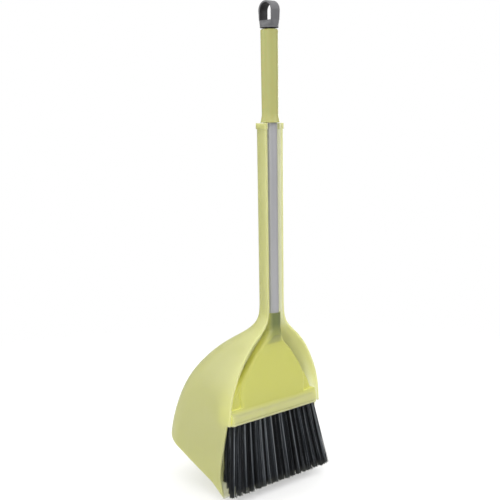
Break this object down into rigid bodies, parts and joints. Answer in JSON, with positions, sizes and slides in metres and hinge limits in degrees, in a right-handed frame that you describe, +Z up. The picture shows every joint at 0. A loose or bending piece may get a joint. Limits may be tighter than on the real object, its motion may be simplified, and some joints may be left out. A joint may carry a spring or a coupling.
{
  "type": "dustpan and brush",
  "caption": "Child-size hand broom clipped into the channel handle of a one-piece scoop dustpan, in pale lime plastic with dark bristles and a grey hanging loop.",
  "frame": {"origin": "where a hook carries the hanging loop: the top of the loop's hole, on the axis of the broom's tube", "axes": "+X the set's right, -Y its front (the open mouth of the pan), +Z up along the broom's tube"},
  "size_m": [0.1782, 0.1599, 0.6142],
  "materials": {
    "lime_plastic": "satin",
    "grip_plastic": "satin",
    "grey_plastic": "satin",
    "tube_coating": "satin",
    "block_plastic": "matte",
    "bristles": "satin",
    "anchor_steel": "bright"
  },
  "bodies": {
    "broom": {"brush_head": "lime_plastic", "bristle_block": "block_plastic", "tuft_row_front": "bristles", "tuft_row_second": "bristles", "tuft_row_third": "bristles", "tuft_row_back": "bristles", "tuft_anchors": "anchor_steel", "handle_tube": "tube_coating", "grip_sleeve": "grip_plastic"},
    "dustpan": {"dustpan_body": "lime_plastic"},
    "loop": {"hang_loop": "grey_plastic"}
  },
  "joints": [
    {"name": "dustpan_unclip", "type": "slide", "parent": "broom", "child": "dustpan", "axis": [0, 1, 0], "range_m": [0, 0.16]},
    {"name": "loop_swivel", "type": "hinge", "parent": "broom", "child": "loop", "pos_m": [0, 0, -0.031], "axis": [0, 0, 1], "continuous": true}
  ]
}
